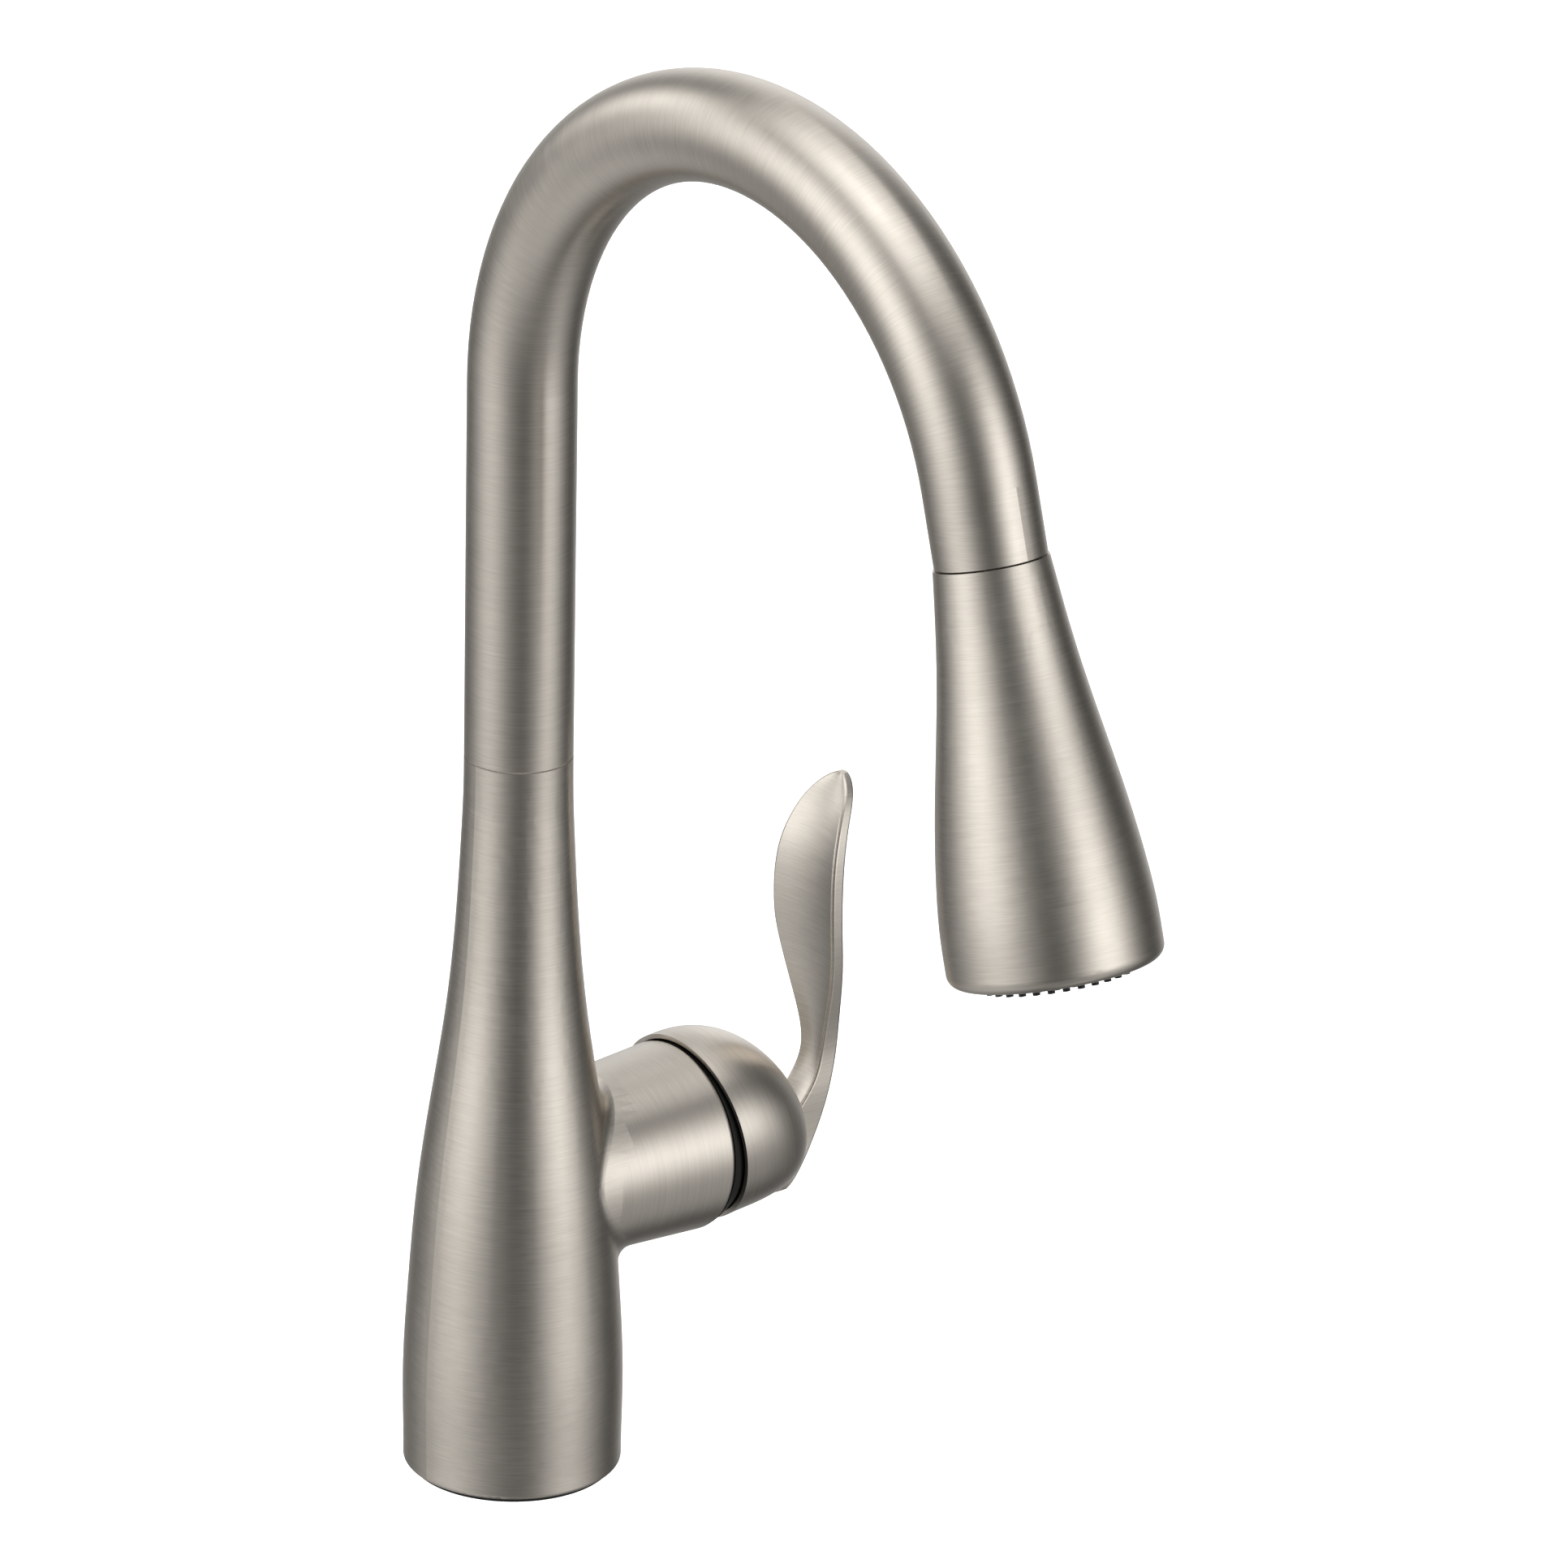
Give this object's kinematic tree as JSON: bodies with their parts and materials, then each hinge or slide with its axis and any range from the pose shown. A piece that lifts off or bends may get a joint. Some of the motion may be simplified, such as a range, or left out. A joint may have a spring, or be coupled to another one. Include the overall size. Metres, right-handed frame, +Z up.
{
  "type": "kitchen faucet",
  "caption": "Single-handle pull-down kitchen faucet with a flared body, high-arch swivel spout, side lever and a flared two-mode spray wand.",
  "frame": {"origin": "centre of the base on the deck surface, under the gasket", "axes": "+Z up along the body; -Y the way the resting spout points; +X the way the handle hub points"},
  "size_m": [0.1352, 0.2564, 0.394],
  "materials": {
    "brushed_nickel": "brushed nickel plate, fine satin grain",
    "brass": "machined",
    "stainless": "plain stainless steel",
    "black_rubber": "matte",
    "nozzle_silicone": "soft moulded",
    "black_plastic": "fine moulded texture",
    "white_acetal": "smooth moulded",
    "ceramic": "lapped ceramic",
    "hose_braid": "braided nylon over an inner tube"
  },
  "bodies": {
    "body": {"body_shell": "brushed_nickel", "base_gasket": "black_rubber", "waterway_column": "brass", "valve_cup": "brass", "cup_screws": "stainless", "cartridge_base": "white_acetal", "fixed_disc": "ceramic", "cartridge_housing": "white_acetal", "retainer_nut": "brass", "bonnet": "black_plastic", "upper_bushing": "white_acetal", "lower_bushing": "white_acetal", "slip_washer": "white_acetal", "hose_lower": "hose_braid"},
    "mixer": {"mixer_rotor": "white_acetal", "stem_pin": "stainless"},
    "disc": {"moving_disc": "ceramic", "disc_carrier": "white_acetal"},
    "handle": {"control_stem": "stainless", "handle_dome": "brushed_nickel", "grub_screw": "stainless", "handle_lever": "brushed_nickel", "lever_screw": "stainless"},
    "spout": {"spout_tube": "brushed_nickel", "swivel_stem": "brass", "swivel_o_ring": "black_rubber", "retaining_clip": "stainless", "dock_collar": "white_acetal", "hose_upper": "hose_braid"},
    "hose_end": {"hose_ferrule": "stainless", "hose_nipple": "brass", "nipple_o_ring": "black_rubber"},
    "wand": {"wand_shell": "brushed_nickel", "wand_waterway": "white_acetal", "rocker_pin": "stainless", "inlet_screen": "stainless", "check_valve_cage": "white_acetal", "check_spring": "stainless", "flow_divider": "white_acetal", "divider_seal": "black_rubber", "nozzle_mat": "nozzle_silicone", "spray_face": "black_plastic", "stream_aerator": "black_plastic"},
    "poppet": {"check_poppet": "white_acetal"},
    "rocker": {"mode_rocker": "black_plastic"},
    "spool": {"diverter_spool": "white_acetal", "spool_o_rings": "black_rubber"}
  },
  "joints": [
    {"name": "spout_swivel", "type": "hinge", "parent": "body", "child": "spout", "pos_m": [0, 0, 0.1938], "axis": [0, 0, 1], "continuous": true},
    {"name": "wand_pull", "type": "slide", "parent": "spout", "child": "hose_end", "axis": [0, -0.2756, -0.9613], "range_m": [0, 0.45], "deforming": ["hose_upper"]},
    {"name": "wand_twist", "type": "hinge", "parent": "hose_end", "child": "wand", "pos_m": [0, -0.17649, 0.2999], "axis": [0, -0.2756, -0.9613], "continuous": true},
    {"name": "check_lift", "type": "slide", "parent": "wand", "child": "poppet", "axis": [0, -0.2756, -0.9613], "range_m": [0, 0.002], "stiffness_N_per_m": 60, "springref_m": -0.002, "deforming": ["check_spring"]},
    {"name": "rocker_tilt", "type": "hinge", "parent": "wand", "child": "rocker", "pos_m": [0, -0.17456, 0.2515], "axis": [1, 0, 0], "range_deg": [0, 10]},
    {"name": "spool_slide", "type": "slide", "parent": "wand", "child": "spool", "axis": [0, -0.2756, -0.9613], "range_m": [0, 0.00115]},
    {"name": "temperature_turn", "type": "hinge", "parent": "body", "child": "mixer", "pos_m": [0.045, 0, 0.0763], "axis": [1, 0, 0], "range_deg": [-45, 45]},
    {"name": "handle_tilt", "type": "hinge", "parent": "mixer", "child": "handle", "pos_m": [0.045, 0, 0.0763], "axis": [0, 1, 0], "range_deg": [0, 14]},
    {"name": "disc_slide", "type": "slide", "parent": "mixer", "child": "disc", "axis": [0, 0, 1], "range_m": [0, 0.0024]}
  ],
  "couplings": [
    {"joint": "rocker_tilt", "follows": "spool_slide", "rad_per_m": 151.5},
    {"joint": "disc_slide", "follows": "handle_tilt", "m_per_rad": 0.0095}
  ]
}
